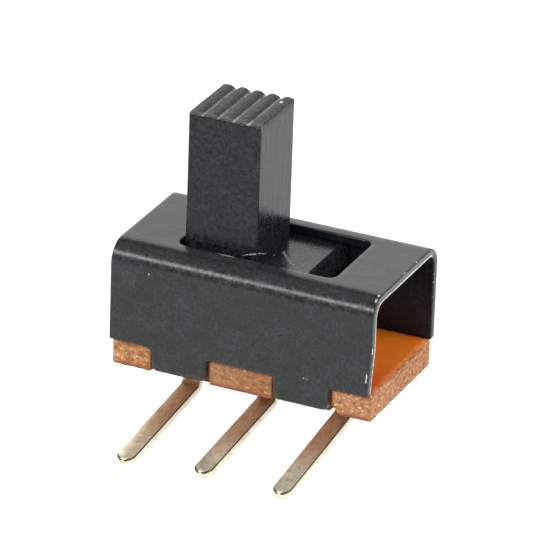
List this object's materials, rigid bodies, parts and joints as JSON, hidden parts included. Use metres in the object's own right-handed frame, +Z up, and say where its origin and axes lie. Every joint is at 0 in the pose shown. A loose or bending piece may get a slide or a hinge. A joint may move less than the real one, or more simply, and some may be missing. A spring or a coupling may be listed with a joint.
{
  "type": "slide switch",
  "caption": "Small right-angle slide switch: black folded steel cover, laminate base board, ridged black knob and bent solder terminals in a row.",
  "frame": {"origin": "middle of the front wall's outer face, the face that lies on the circuit board", "axes": "+X along the slot towards the knob's other position, +Y away from the circuit board, +Z up the knob"},
  "size_m": [0.01, 0.0086, 0.0119],
  "materials": {
    "cover_steel": "satin black oxide on sheet steel",
    "laminate": "paper laminate, smooth faces and fibrous punched edges",
    "tinned_strip": "tinned brass strip",
    "slider_plastic": "matt moulded",
    "spring_bronze": "bright spring bronze"
  },
  "bodies": {
    "housing": {"cover": "cover_steel", "base_board": "laminate", "terminal_left": "tinned_strip", "terminal_middle": "tinned_strip", "terminal_right": "tinned_strip"},
    "slide": {"slider": "slider_plastic", "contact_clip": "spring_bronze"}
  },
  "joints": [
    {"name": "slide_travel", "type": "slide", "parent": "housing", "child": "slide", "axis": [1, 0, 0], "range_m": [-0.00017, 0.00307]}
  ]
}
